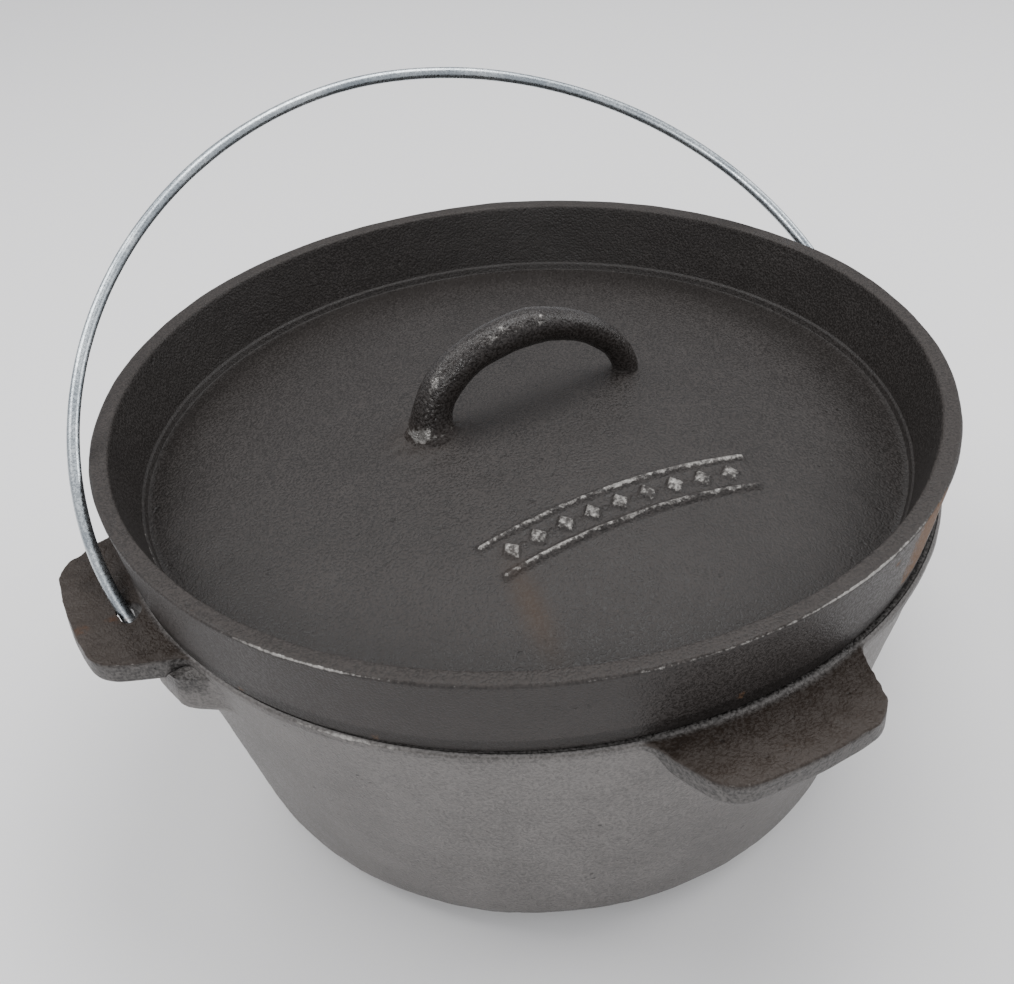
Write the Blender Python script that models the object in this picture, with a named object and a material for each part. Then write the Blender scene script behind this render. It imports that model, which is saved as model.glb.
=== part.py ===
"""Cast iron dutch oven: a pot with cast lugs, a tray lid with a cast handle, and a wire bail.

Metres, +Z up. The origin is at the middle of the pot's flat base, and the bail's hinge line runs
along X through the holes of the two ears. At rest the bail leans back towards +Y on its stop.
"""

import math

import bmesh
import bpy
from mathutils import Matrix, Vector

# Pot
POT_HEIGHT = 0.1200
POT_RIM_RADIUS = 0.1470
POT_RIM_WIDTH = 0.0062
POT_BASE_RADIUS = 0.1167  # where the wall's line would meet the floor
POT_BASE_CORNER = 0.0210
POT_INNER_CORNER = 0.0170
POT_WALL = 0.0050
POT_FLOOR = 0.0055
BEAD_HEIGHT = 0.0040
BEAD_PROUD = 0.0012
RIM_ROUND = 0.0012

# Lid
LID_HEIGHT = 0.0320
LID_OVERHANG = 0.0045  # the lid's top edge reaches this far past the pot's rim
LID_TAPER = 0.0060
LID_RIM_WIDTH = 0.0064
LID_WALL_DRAFT = 0.0068
TRAY_DEPTH = 0.0243
GROOVE_DEPTH = 0.0022
GROOVE_WIDTH = 0.0034
CROWN_DEPTH = 0.0055  # from the lid's top edge down to the top of its domed plate
PLATE_THICKNESS = 0.0045
SEAT_GAP = 0.0003
LIP_DEPTH = 0.0030
LIP_WIDTH = 0.0050
LIP_CLEARANCE = 0.0035
LID_SHIFT = Vector((-0.00135, 0.00070, 0.0))  # the loose lid sits a little off centre
LID_TURN = math.radians(-0.2)

# Lid handle
HANDLE_HALF_SPAN = 0.0399
HANDLE_SHIFT = 0.0042
HANDLE_RISE = 0.0279  # middle of the bar above the plate's crown
HANDLE_RADIUS = 0.0066
HANDLE_THIN_RADIUS = 0.0046  # the bar thins down its right leg
HANDLE_LEFT_BOW = 0.85  # 1 is an ellipse, and less has a fuller shoulder
HANDLE_RIGHT_BOW = 1.20
HANDLE_LEFT_FOOT = 0.0090
HANDLE_RIGHT_FOOT = 0.0050
HANDLE_FLARE = 0.0045  # height over which a foot narrows to the bar
HANDLE_SINK = 0.0022

# Lugs
LUG_THICKNESS = 0.0084
LUG_DROP = 0.0004
LUG_REACH = 0.0188  # past the middle of the bail's hole
LUG_ROOT_HALF_WIDTH = 0.0385
LUG_TIP_HALF_WIDTH = 0.0285
LUG_CORNER = 0.0130
LUG_ROOT_FILLET = 0.0080
LUG_EDGE = 0.0010
EAR_TURN = math.radians(-2.5)
TAB_TURN = math.radians(-1.0)
GUSSET_DEPTH = 0.0235
GUSSET_REACH = 0.0070  # past the pot's rim
GUSSET_HALF_WIDTH = 0.0395
GUSSET_CORNER = 0.0060
GUSSET_FILLET = 0.0050
GUSSET_ROUND = 0.0100
RECESS_HALF_WIDTH = 0.0165  # room for the bail's hook to swing
RECESS_SIDE = 0.0030
RECESS_CLEARANCE = 0.0009

# Bail
WIRE_DIAMETER = 0.0044
HINGE_OFFSET = 0.0025  # past the lid's top edge, where the wire crosses the hinge line
HOLE_PLAY = 0.0011  # between the wire and the outer side of its hole
HOLE_INSET = 0.0011  # the wire hangs this far out from the middle of its hole
HINGE_DEPTH = 0.0020  # below the top of the ears
BAIL_RISE = 0.1663  # crown above the hinge line
BAIL_PEAK = 1.04  # 1 is an ellipse, and more has leaner shoulders
BAIL_SKEW = 0.0077  # the hand-bent crown leans this much to the left, per unit of height
BAIL_CLEARANCE = 0.0008
BAIL_LEAN = math.radians(50.0)  # either way from upright
HOLE_CLEARANCE = 0.0007  # at the ends of the slot, where the wire leans furthest
HOOK_ROOM = 0.0007  # between an ear and the hook's leg when the bail leans
HOOK_BEND = 0.0065
HOOK_LEG = 0.0050

# Fineness
TURNS = 72
HANDLE_SIDES = 14
TINY = 1e-5

LID_TOP_RADIUS = POT_RIM_RADIUS + LID_OVERHANG
LID_Z = POT_HEIGHT + SEAT_GAP
HINGE_RADIUS = LID_TOP_RADIUS + HINGE_OFFSET
HOLE_RADIUS = HINGE_RADIUS - HOLE_INSET
HOLE_DIAMETER = WIRE_DIAMETER + 2 * (HOLE_PLAY + HOLE_INSET)
LUG_RADIUS = HOLE_RADIUS + LUG_REACH
LUG_TOP = POT_HEIGHT - LUG_DROP
HINGE_Z = LUG_TOP - HINGE_DEPTH
BAIL_HALF_SPAN = LID_TOP_RADIUS + LID_SHIFT.length + WIRE_DIAMETER / 2 + BAIL_CLEARANCE
HOOK_REACH = (LUG_THICKNESS - HINGE_DEPTH + WIRE_DIAMETER / 2 + HOOK_ROOM) / math.cos(BAIL_LEAN)
HOOK_DROP = HOOK_REACH - HOOK_BEND
BAIL_START = -math.acos((HINGE_RADIUS / BAIL_HALF_SPAN) ** (1 / BAIL_PEAK))


def clear_scene():
    for obj in list(bpy.data.objects):
        bpy.data.objects.remove(obj, do_unlink=True)


def make_material(name, color, roughness, metallic):
    material = bpy.data.materials.new(name)
    material.use_nodes = True
    shader = material.node_tree.nodes["Principled BSDF"]
    shader.inputs["Base Color"].default_value = (*color, 1.0)
    shader.inputs["Roughness"].default_value = roughness
    shader.inputs["Metallic"].default_value = metallic
    return material


def add_object(name, bm, material=None):
    bmesh.ops.recalc_face_normals(bm, faces=bm.faces)
    mesh = bpy.data.meshes.new(name)
    bm.to_mesh(mesh)
    bm.free()
    obj = bpy.data.objects.new(name, mesh)
    bpy.context.scene.collection.objects.link(obj)
    if material:
        mesh.materials.append(material)
        mesh.shade_smooth()
        mesh.set_sharp_from_angle(angle=math.radians(35))
    else:
        obj.hide_render = True
        obj.display_type = "WIRE"
    return obj


def add_boolean(target, tool, operation):
    modifier = target.modifiers.new(tool.name, "BOOLEAN")
    modifier.object = tool
    modifier.operation = operation
    modifier.solver = "EXACT"


def filleted(corners, steps=3):
    """Points of a closed outline whose corners (x, y, radius) are rounded by arcs."""
    points = []
    for i, (x, y, radius) in enumerate(corners):
        here = Vector((x, y))
        if radius == 0:
            points.append(here)
            continue
        back = (Vector(corners[i - 1][:2]) - here).normalized()
        ahead = (Vector(corners[(i + 1) % len(corners)][:2]) - here).normalized()
        half = back.angle(ahead) / 2
        centre = here + (back + ahead).normalized() * radius / math.sin(half)
        start = here + back * radius / math.tan(half) - centre
        end = here + ahead * radius / math.tan(half) - centre
        sweep = math.atan2(start.x * end.y - start.y * end.x, start.dot(end))
        for k in range(steps + 1):
            turn = Matrix.Rotation(sweep * k / steps, 2)
            points.append(centre + turn @ start)
    return points


def turned(name, outline, material):
    """A solid turned about Z from an outline of (radius, height) that starts and ends on the axis."""
    bm = bmesh.new()
    verts = [bm.verts.new((x, 0.0, y)) for x, y in outline]
    edges = [bm.edges.new(pair) for pair in zip(verts, verts[1:])]
    bmesh.ops.spin(
        bm, geom=verts + edges, cent=(0, 0, 0), axis=(0, 0, 1), angle=math.tau, steps=TURNS, use_merge=True
    )
    bmesh.ops.remove_doubles(bm, verts=bm.verts, dist=TINY)
    return add_object(name, bm, material)


def stack(name, rings, place):
    """A closed solid through rings of equally many points, each ring a list of (x, y, z)."""
    bm = bmesh.new()
    rows = [[bm.verts.new(place @ Vector(point)) for point in ring] for ring in rings]
    count = len(rows[0])
    for low, high in zip(rows, rows[1:]):
        for i in range(count):
            j = (i + 1) % count
            bm.faces.new((low[i], low[j], high[j], high[i]))
    bm.faces.new(rows[0])
    bm.faces.new(rows[-1])
    return add_object(name, bm)


def wall_radius(z):
    """The pot's outer wall, without its bead, at height z."""
    top = POT_RIM_RADIUS - BEAD_PROUD
    return POT_BASE_RADIUS + (top - POT_BASE_RADIUS) * z / (POT_HEIGHT - BEAD_HEIGHT)


def pot_outline():
    bead_foot = POT_HEIGHT - BEAD_HEIGHT
    mouth = POT_RIM_RADIUS - POT_RIM_WIDTH
    corners = [
        (0.0, 0.0, 0.0),
        (POT_BASE_RADIUS, 0.0, POT_BASE_CORNER),
        (wall_radius(bead_foot), bead_foot, 0.0),
        (POT_RIM_RADIUS, bead_foot + BEAD_PROUD, 0.0),
        (POT_RIM_RADIUS, POT_HEIGHT, RIM_ROUND),
        (mouth, POT_HEIGHT, RIM_ROUND),
        (wall_radius(POT_FLOOR) - POT_WALL, POT_FLOOR, POT_INNER_CORNER),
        (0.0, POT_FLOOR, 0.0),
    ]
    return filleted(corners, 4)


def polar(radius, angle, fillet):
    return (radius * math.cos(angle), radius * math.sin(angle), fillet)


def lug_outline(root_radius, outer, root_half, tip_half, corner, fillet):
    """Plan of a lug along +X, from inside the pot's wall out to an edge concentric with the pot."""
    inner = root_radius - 0.6 * POT_WALL
    seat = root_radius - 0.1 * POT_WALL
    root = math.asin(root_half / seat)
    tip = math.asin(tip_half / outer)
    flare = root + 1.5 * fillet / seat
    arc = tip - 1.1 * corner / outer
    side = [
        polar(inner, flare, 0.0),
        polar(seat, flare, 0.0),
        polar(seat, root, fillet),
        polar(outer, tip, corner),
        polar(outer, arc, 0.0),
        polar(outer, arc / 2, 0.0),
    ]
    other = [(x, -y, radius) for x, y, radius in reversed(side)]
    steps = 8
    back = [polar(inner, flare * (2 * k / steps - 1), 0.0) for k in range(1, steps)]
    return filleted(side + [polar(outer, 0.0, 0.0)] + other + back)


def make_lug(name, angle):
    """A flat lug with rounded edges, at an angle about Z."""
    bottom = LUG_TOP - LUG_THICKNESS
    levels = [
        (LUG_TOP, LUG_EDGE),
        (LUG_TOP - LUG_EDGE / 2, LUG_EDGE / 4),
        (LUG_TOP - LUG_EDGE, 0.0),
        (bottom + 2 * LUG_EDGE, 0.0),
        (bottom + LUG_EDGE / 2, 0.6 * LUG_EDGE),
        (bottom, 1.6 * LUG_EDGE),
    ]
    rings = []
    for z, inset in levels:
        outline = lug_outline(
            wall_radius(z), LUG_RADIUS - inset, LUG_ROOT_HALF_WIDTH - inset,
            LUG_TIP_HALF_WIDTH - inset, LUG_CORNER - inset, LUG_ROOT_FILLET,
        )
        rings.append([(point.x, point.y, z) for point in outline])
    return stack(name, rings, Matrix.Rotation(angle, 4, "Z"))


def gusset_outline(root_radius, outer, inset):
    """Plan of a gusset along +X, with a recess in its edge for the bail's hook."""
    slope = (BAIL_HALF_SPAN - HINGE_RADIUS) / bail_belly()
    room = HINGE_RADIUS - WIRE_DIAMETER / 2 - slope * HOOK_DROP - RECESS_CLEARANCE
    floor = min(room, outer - TINY)
    half = GUSSET_HALF_WIDTH - inset / 2
    seat = root_radius - 0.1 * POT_WALL
    inner = root_radius - 0.6 * POT_WALL
    root = math.asin(half / seat)
    flare = root + 1.5 * GUSSET_FILLET / seat
    tip = math.asin((half - GUSSET_CORNER / 2) / outer)
    side = [
        polar(inner, flare, 0.0),
        polar(seat, flare, 0.0),
        polar(seat, root, GUSSET_FILLET),
        polar(outer, tip, GUSSET_CORNER),
        polar(outer, (tip + (RECESS_HALF_WIDTH + RECESS_SIDE) / outer) / 2, 0.0),
        polar(outer, (RECESS_HALF_WIDTH + RECESS_SIDE) / outer, 0.0),
        polar(floor, RECESS_HALF_WIDTH / floor, 0.0),
        polar(floor, RECESS_HALF_WIDTH / floor / 2, 0.0),
    ]
    other = [(x, -y, radius) for x, y, radius in reversed(side)]
    steps = 8
    back = [polar(inner, flare * (2 * k / steps - 1), 0.0) for k in range(1, steps)]
    return filleted(side + [polar(floor, 0.0, 0.0)] + other + back)


def make_gusset(name, angle):
    """The rounded swelling of the wall that carries an ear."""
    full = POT_RIM_RADIUS + GUSSET_REACH
    top = LUG_TOP - LUG_THICKNESS / 2
    bottom = LUG_TOP - GUSSET_DEPTH
    foot = wall_radius(bottom) + LUG_EDGE
    steps = 6
    levels = [(top, 0.0)]
    for k in range(steps):
        turn = math.radians(84) * k / (steps - 1)
        levels.append((bottom + GUSSET_ROUND * (1 - math.sin(turn)), (full - foot) * (1 - math.cos(turn))))
    rings = []
    for z, inset in levels:
        outline = gusset_outline(wall_radius(z), full - inset, inset)
        rings.append([(point.x, point.y, z) for point in outline])
    return stack(name, rings, Matrix.Rotation(angle, 4, "Z"))


def make_hole(name, angle):
    """The bail's hole: round at the hinge line, opened along Y so that the wire can lean both ways."""
    radius = HOLE_DIAMETER / 2
    wire = WIRE_DIAMETER / 2
    drift = (BAIL_HALF_SPAN - HINGE_RADIUS) / bail_belly() * HINGE_DEPTH / math.cos(BAIL_LEAN)
    need = -radius
    for k in range(19):
        turn = math.pi / 2 * k / 18
        x = min(radius, HOLE_INSET + drift + wire * math.cos(turn))
        y = wire / math.cos(BAIL_LEAN) * math.sin(turn) + HOLE_CLEARANCE
        need = max(need, y - math.sqrt(radius**2 - x**2))
    waist = max(TINY, -need / math.tan(BAIL_LEAN))
    half_turn = 8
    rings = []
    for dz in (HINGE_DEPTH - LUG_THICKNESS - 2 * LUG_EDGE, -waist, waist, HINGE_DEPTH + LUG_EDGE):
        stretch = max(0.0, abs(dz) * math.tan(BAIL_LEAN) + need)
        ring = []
        for side in (1, -1):
            for k in range(half_turn + 1):
                turn = math.pi * (k / half_turn + (side < 0))
                x = HOLE_RADIUS + radius * math.cos(turn)
                y = radius * math.sin(turn) + side * (stretch + TINY)
                ring.append((x, y, HINGE_Z + dz))
        rings.append(ring)
    return stack(name, rings, Matrix.Rotation(angle, 4, "Z"))


def make_pot(material):
    pot = turned("pot", pot_outline(), material)
    for name, angle in (("right", 0.0), ("left", math.pi)):
        add_boolean(pot, make_gusset(f"{name}_gusset_form", angle), "UNION")
        add_boolean(pot, make_lug(f"{name}_ear_form", angle + EAR_TURN), "UNION")
        add_boolean(pot, make_hole(f"{name}_hole_cutter", angle), "DIFFERENCE")
    for name, angle in (("back", math.pi / 2), ("front", -math.pi / 2)):
        add_boolean(pot, make_lug(f"{name}_tab_form", angle + TAB_TURN), "UNION")
    return pot


def plate_height(radius):
    """Top of the lid's domed plate at a radius, from the lid's seat."""
    edge = LID_TOP_RADIUS - LID_RIM_WIDTH - LID_WALL_DRAFT - GROOVE_WIDTH
    rise = TRAY_DEPTH + GROOVE_DEPTH - CROWN_DEPTH
    ball = (edge**2 + rise**2) / (2 * rise)
    return LID_HEIGHT - CROWN_DEPTH - ball + math.sqrt(ball**2 - radius**2)


def lid_outline():
    inner_top = LID_TOP_RADIUS - LID_RIM_WIDTH
    tray = inner_top - LID_WALL_DRAFT
    edge = tray - GROOVE_WIDTH
    skirt = LID_TOP_RADIUS - LID_TAPER
    ledge = LID_HEIGHT - TRAY_DEPTH
    lip_outer = POT_RIM_RADIUS - POT_RIM_WIDTH - LIP_CLEARANCE
    lip_inner = lip_outer - LIP_WIDTH
    steps = 7
    dome = [(edge * k / steps, plate_height(edge * k / steps), 0.0) for k in range(steps + 1)]
    under_edge = lip_inner - PLATE_THICKNESS / 2
    under = [(under_edge * k / steps, plate_height(under_edge * k / steps) - PLATE_THICKNESS, 0.0)
             for k in range(steps, -1, -1)]
    side = [
        (tray - GROOVE_WIDTH / 2, ledge - GROOVE_DEPTH, 0.0),
        (tray - GROOVE_WIDTH / 4, ledge, 0.0),
        (tray, ledge + GROOVE_DEPTH / 4, 0.0),
        (inner_top, LID_HEIGHT, RIM_ROUND),
        (LID_TOP_RADIUS, LID_HEIGHT, RIM_ROUND),
        (skirt, 0.0, RIM_ROUND),
        (lip_outer, 0.0, 0.0),
        (lip_outer, -LIP_DEPTH, RIM_ROUND),
        (lip_inner, -LIP_DEPTH, RIM_ROUND),
    ]
    return filleted(dome + side + under, 2)


def handle_middle(turn, foot, lift):
    """Middle of the handle's bar at a turn about the arch, with each half bowed to its own power."""
    across = math.cos(turn)
    rise = math.sin(turn)
    bow = HANDLE_RIGHT_BOW if across > 0 else HANDLE_LEFT_BOW
    x = HANDLE_HALF_SPAN * math.copysign(abs(across) ** bow, across)
    return Vector((x, 0.0, foot + lift * math.copysign(abs(rise) ** bow, rise)))


def make_handle_form():
    """The arched bar of the lid's handle, its feet flared into the plate."""
    foot = plate_height(HANDLE_HALF_SPAN)
    lift = HANDLE_RISE + LID_HEIGHT - CROWN_DEPTH - foot
    start = -math.asin((HANDLE_SINK / lift) ** (1 / HANDLE_RIGHT_BOW))
    end = math.pi + math.asin((HANDLE_SINK / lift) ** (1 / HANDLE_LEFT_BOW))
    steps = 28
    nudge = 0.01
    rings = []
    for k in range(steps + 1):
        turn = start + (end - start) * k / steps
        middle = handle_middle(turn, foot, lift)
        ahead = handle_middle(turn + nudge, foot, lift) - handle_middle(turn - nudge, foot, lift)
        across = Vector((0.0, 1.0, 0.0))
        out = across.cross(ahead.normalized())
        thinning = max(0.0, middle.x / HANDLE_HALF_SPAN)
        bar = HANDLE_RADIUS + (HANDLE_THIN_RADIUS - HANDLE_RADIUS) * thinning
        wide = HANDLE_RIGHT_FOOT if middle.x > 0 else HANDLE_LEFT_FOOT
        height = max(0.0, middle.z - foot)
        radius = bar + (wide - bar) * math.exp(-height / HANDLE_FLARE)
        ring = []
        for j in range(HANDLE_SIDES):
            angle = math.tau * j / HANDLE_SIDES
            ring.append(middle + radius * (math.cos(angle) * out + math.sin(angle) * across))
        rings.append(ring)
    return stack("handle_form", rings, Matrix.Translation((HANDLE_SHIFT, 0.0, 0.0)))


def make_lid(material):
    lid = turned("lid", lid_outline(), material)
    handle = make_handle_form()
    handle.parent = lid
    lid.location = Vector((0.0, 0.0, LID_Z)) + LID_SHIFT
    lid.rotation_euler = (0.0, 0.0, LID_TURN)
    add_boolean(lid, handle, "UNION")
    return lid


def bail_belly():
    """Height of the bail's widest points above the hinge line."""
    share = math.sin(-BAIL_START) ** BAIL_PEAK
    return BAIL_RISE * share / (1 + share)


def bail_path():
    """Middle line of the bail in its own plane, from hook to hook, with the hinge line at height 0."""
    belly = bail_belly()
    steps = 56
    arch = []
    for k in range(steps + 1):
        turn = BAIL_START + (math.pi - 2 * BAIL_START) * k / steps
        across = math.copysign(abs(math.cos(turn)) ** BAIL_PEAK, math.cos(turn))
        lift = math.copysign(abs(math.sin(turn)) ** BAIL_PEAK, math.sin(turn))
        height = belly + (BAIL_RISE - belly) * lift
        arch.append(Vector((BAIL_HALF_SPAN * across - BAIL_SKEW * height, height)))
    slope = (arch[0] - arch[1]).normalized()
    heading = math.atan2(slope.y, slope.x)
    straight = arch[0] + slope * HOOK_DROP
    bend_steps = 6
    hook = [straight]
    for k in range(1, bend_steps + 1):
        turn = heading * (1 - k / bend_steps)
        step_x = HOOK_BEND * (math.sin(turn) - math.sin(heading))
        step_y = HOOK_BEND * (math.cos(heading) - math.cos(turn))
        hook.append(straight + Vector((step_x, step_y)))
    hook.append(hook[-1] + Vector((HOOK_LEG, 0.0)))
    right = list(reversed(hook))
    left = [Vector((-x, y)) for x, y in hook]
    return right + arch + left


def make_bail(material):
    path = bail_path()
    curve = bpy.data.curves.new("bail", "CURVE")
    curve.dimensions = "3D"
    curve.bevel_depth = WIRE_DIAMETER / 2
    curve.bevel_resolution = 4
    curve.use_fill_caps = True
    spline = curve.splines.new("POLY")
    spline.points.add(len(path) - 1)
    for point, (x, z) in zip(spline.points, path):
        point.co = (x, 0.0, z, 1.0)
    spline.use_smooth = True
    curve.materials.append(material)
    bail = bpy.data.objects.new("bail", curve)
    bail.location = (0.0, 0.0, HINGE_Z)
    bail.rotation_euler = (-BAIL_LEAN, 0.0, 0.0)
    bpy.context.scene.collection.objects.link(bail)
    return bail


def main():
    clear_scene()
    cast_iron = make_material("seasoned_cast_iron", (0.045, 0.043, 0.042), 0.55, 0.3)
    zinc_wire = make_material("zinc_plated_wire", (0.55, 0.57, 0.58), 0.32, 1.0)
    make_pot(cast_iron)
    make_lid(cast_iron)
    make_bail(zinc_wire)


main()
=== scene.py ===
import bpy
import math
import numpy as np
from mathutils import Matrix, Vector, noise


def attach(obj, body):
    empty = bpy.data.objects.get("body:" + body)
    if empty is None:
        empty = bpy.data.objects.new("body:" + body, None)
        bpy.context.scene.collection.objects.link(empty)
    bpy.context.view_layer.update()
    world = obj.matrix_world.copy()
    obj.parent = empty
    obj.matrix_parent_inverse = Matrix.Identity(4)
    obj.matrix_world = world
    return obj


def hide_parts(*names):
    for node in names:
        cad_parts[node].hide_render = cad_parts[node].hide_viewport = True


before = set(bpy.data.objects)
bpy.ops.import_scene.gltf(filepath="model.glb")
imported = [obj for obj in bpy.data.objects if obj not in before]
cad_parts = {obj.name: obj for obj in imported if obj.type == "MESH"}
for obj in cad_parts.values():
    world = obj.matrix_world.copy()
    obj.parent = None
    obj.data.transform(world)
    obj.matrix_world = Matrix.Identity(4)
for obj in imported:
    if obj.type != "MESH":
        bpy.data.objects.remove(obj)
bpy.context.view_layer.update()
mm = 0.001


# mesh helpers that every piece uses
def ease(t):
    t = np.clip(t, 0, 1)
    return t * t * (3 - 2 * t)


def rounded(corners, steps=6):
    # corners are (x, y, radius); a radius of 0 keeps the corner sharp
    out = []
    for i, (x, y, radius) in enumerate(corners):
        here = Vector((x, y))
        if radius == 0:
            out.append(here)
            continue
        back = (Vector(corners[i - 1][:2]) - here).normalized()
        ahead = (Vector(corners[(i + 1) % len(corners)][:2]) - here).normalized()
        half = back.angle(ahead) / 2
        middle = here + (back + ahead).normalized() * radius / math.sin(half)
        start = here + back * radius / math.tan(half) - middle
        end = here + ahead * radius / math.tan(half) - middle
        sweep = math.atan2(start.x * end.y - start.y * end.x, start.dot(end))
        out += [middle + Matrix.Rotation(sweep * k / steps, 2) @ start for k in range(steps + 1)]
    return out


def spaced(points, gap):
    # splits long stretches of a line so that no step is longer than gap
    out = [np.array(points[0], float)]
    for a, b in zip(points, points[1:]):
        a, b = np.array(a, float), np.array(b, float)
        count = max(1, int(math.ceil(np.linalg.norm(b - a) / gap)))
        out += [a + (b - a) * k / count for k in range(1, count + 1)]
    return np.array(out)


def meshFrom(name, verts, faces):
    mesh = bpy.data.meshes.new(name)
    mesh.from_pydata(verts.tolist(), [], faces)
    mesh.update()
    obj = bpy.data.objects.new(name, mesh)
    bpy.context.scene.collection.objects.link(obj)
    return obj


def ringMesh(name, rings, firstPole, lastPole):
    # a closed skin through rings of equally many points, with a point at each end
    rows, cols = rings.shape[:2]
    i = np.arange(rows - 1)[:, None] * cols
    j = np.arange(cols)[None]
    k = (j + 1) % cols
    quads = np.stack([i + j, i + k, i + cols + k, i + cols + j], -1).reshape(-1, 4).tolist()
    low, high = rows * cols, rows * cols + 1
    last = (rows - 1) * cols
    quads += [[low, (c + 1) % cols, c] for c in range(cols)]
    quads += [[high, last + c, last + (c + 1) % cols] for c in range(cols)]
    verts = np.vstack([rings.reshape(-1, 3), firstPole, lastPole])
    return meshFrom(name, verts, quads)


def bake(obj):
    # turns what the modifiers make into the object's own mesh
    graph = bpy.context.evaluated_depsgraph_get()
    made = bpy.data.meshes.new_from_object(obj.evaluated_get(graph))
    obj.modifiers.clear()
    obj.data = made


def combine(target, tools, operation):
    for tool in tools:
        step = target.modifiers.new(tool.name, "BOOLEAN")
        step.object = tool
        step.operation = operation
        step.solver = "EXACT"
    bake(target)
    for tool in tools:
        bpy.data.objects.remove(tool, do_unlink=True)


def points(obj):
    co = np.zeros(len(obj.data.vertices) * 3)
    obj.data.vertices.foreach_get("co", co)
    return co.reshape(-1, 3)


def roughen(obj, layers, mask=None):
    # layers are (feature size in mm, height in mm)
    co = points(obj)
    normals = np.zeros(len(co) * 3)
    obj.data.vertex_normals.foreach_get("vector", normals)
    normals = normals.reshape(-1, 3)
    shift = np.zeros(len(co))
    for size, height in layers:
        scale = 1 / (size * mm)
        shift += height * mm * np.array([noise.noise(Vector(p * scale)) for p in co])
    if mask is not None:
        shift *= mask
    obj.data.vertices.foreach_set("co", (co + normals * shift[:, None]).ravel())
    obj.data.update()


def paint(obj, name, values):
    layer = obj.data.attributes.new(name, "FLOAT", "POINT")
    layer.data.foreach_set("value", np.clip(values, 0, 1).astype(np.float32))


def smoothShade(obj, angle=40):
    obj.data.shade_smooth()
    obj.data.set_sharp_from_angle(angle=math.radians(angle))


def polarOf(co):
    return np.hypot(co[:, 0], co[:, 1]), np.degrees(np.arctan2(co[:, 1], co[:, 0]))


def nearest(angle, middle):
    # degrees from the middle angle, between -180 and 180
    return (angle - middle + 180) % 360 - 180


def around(angle, middle, width):
    # 1 at the middle angle, falling to 0 at width degrees either side
    return ease(1 - np.abs(nearest(angle, middle)) / width)


def mound(x, y, spot):
    # 1 at the spot's middle, falling off over its width and depth
    left, front, wide, deep = spot
    return np.exp(-(((x - left) / wide) ** 2 + ((y - front) / deep) ** 2) ** 1.5)


def fleck(co, spot):
    x, y, spread = spot
    return np.exp(-((co[:, 0] / mm - x) ** 2 + (co[:, 1] / mm - y) ** 2) / spread)


def wornRound(turn, places):
    # some wear all round, and more at places given as angle, width and amount
    return 0.5 + sum(amount * around(turn, middle, width) for middle, width, amount in places)


# camera, floor and light
studio = {
    "cameraPlace": (-0.19896, -0.38217, 0.42561),
    "cameraTurn": (53.317, 3.594, -28.981),
    "lens": 50.795,
    "lampAim": (0, 0, 0.1),
    "floorHalf": 15.0,
    "floorColor": (0.83, 0.822, 0.82),
    "skyColor": (0.93, 0.95, 1.0),
    "skyStrength": 0.66,
    "lamps": {
        "keyLamp": {"place": (-0.75, 0.55, 1.30), "size": 0.9, "power": 13.0},
        "frontLamp": {"place": (-0.85, -1.20, 1.05), "size": 0.6, "power": 12.0},
        "sideLamp": {"place": (1.30, -0.30, 0.85), "size": 0.8, "power": 8.0},
        "topLamp": {"place": (0.32, 0.16, 1.30), "size": 0.8, "power": 11.0},
    },
}


def makeStudio():
    data = bpy.data.cameras.new("camera")
    data.lens = studio["lens"]
    data.sensor_width = 36.0
    camera = bpy.data.objects.new("camera", data)
    camera.location = studio["cameraPlace"]
    camera.rotation_euler = [math.radians(a) for a in studio["cameraTurn"]]
    bpy.context.scene.collection.objects.link(camera)
    bpy.context.scene.camera = camera

    world = bpy.data.worlds.new("studioAir")
    world.use_nodes = True
    air = world.node_tree.nodes["Background"]
    air.inputs["Color"].default_value = (*studio["skyColor"], 1)
    air.inputs["Strength"].default_value = studio["skyStrength"]
    bpy.context.scene.world = world

    for name, values in studio["lamps"].items():
        light = bpy.data.lights.new(name, "AREA")
        light.shape = "DISK"
        light.size = values["size"]
        light.energy = values["power"]
        lamp = bpy.data.objects.new(name, light)
        lamp.location = values["place"]
        aim = Vector(studio["lampAim"]) - lamp.location
        lamp.rotation_euler = aim.to_track_quat("-Z", "Y").to_euler()
        bpy.context.scene.collection.objects.link(lamp)

    half = studio["floorHalf"]
    corners = np.array([(-half, -half, 0), (half, -half, 0), (half, half, 0), (-half, half, 0)])
    floor = meshFrom("floor", corners, [[0, 1, 2, 3]])
    paper = bpy.data.materials.new("palePaper")
    paper.use_nodes = True
    shader = paper.node_tree.nodes["Principled BSDF"]
    shader.inputs["Base Color"].default_value = (*studio["floorColor"], 1)
    shader.inputs["Roughness"].default_value = 0.9
    floor.data.materials.append(paper)


makeStudio()
print("studio: camera, floor and lamps are in place")


# finishes: helpers, shared groups, then one material for each piece
def newGroup(name, inputs, outputs):
    tree = bpy.data.node_groups.new(name, "ShaderNodeTree")
    for label, kind, value in inputs:
        socket = tree.interface.new_socket(name=label, in_out="INPUT", socket_type=kind)
        socket.default_value = value
    for label, kind in outputs:
        tree.interface.new_socket(name=label, in_out="OUTPUT", socket_type=kind)
    return tree, tree.nodes.new("NodeGroupInput"), tree.nodes.new("NodeGroupOutput")


def plug(tree, source, target):
    tree.links.new(source, target)


def maths(tree, kind, a, b=None, clamp=False):
    node = tree.nodes.new("ShaderNodeMath")
    node.operation = kind
    node.use_clamp = clamp
    for slot, value in enumerate((a, b)):
        if value is None:
            continue
        if isinstance(value, (int, float)):
            node.inputs[slot].default_value = value
        else:
            plug(tree, value, node.inputs[slot])
    return node.outputs[0]


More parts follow.
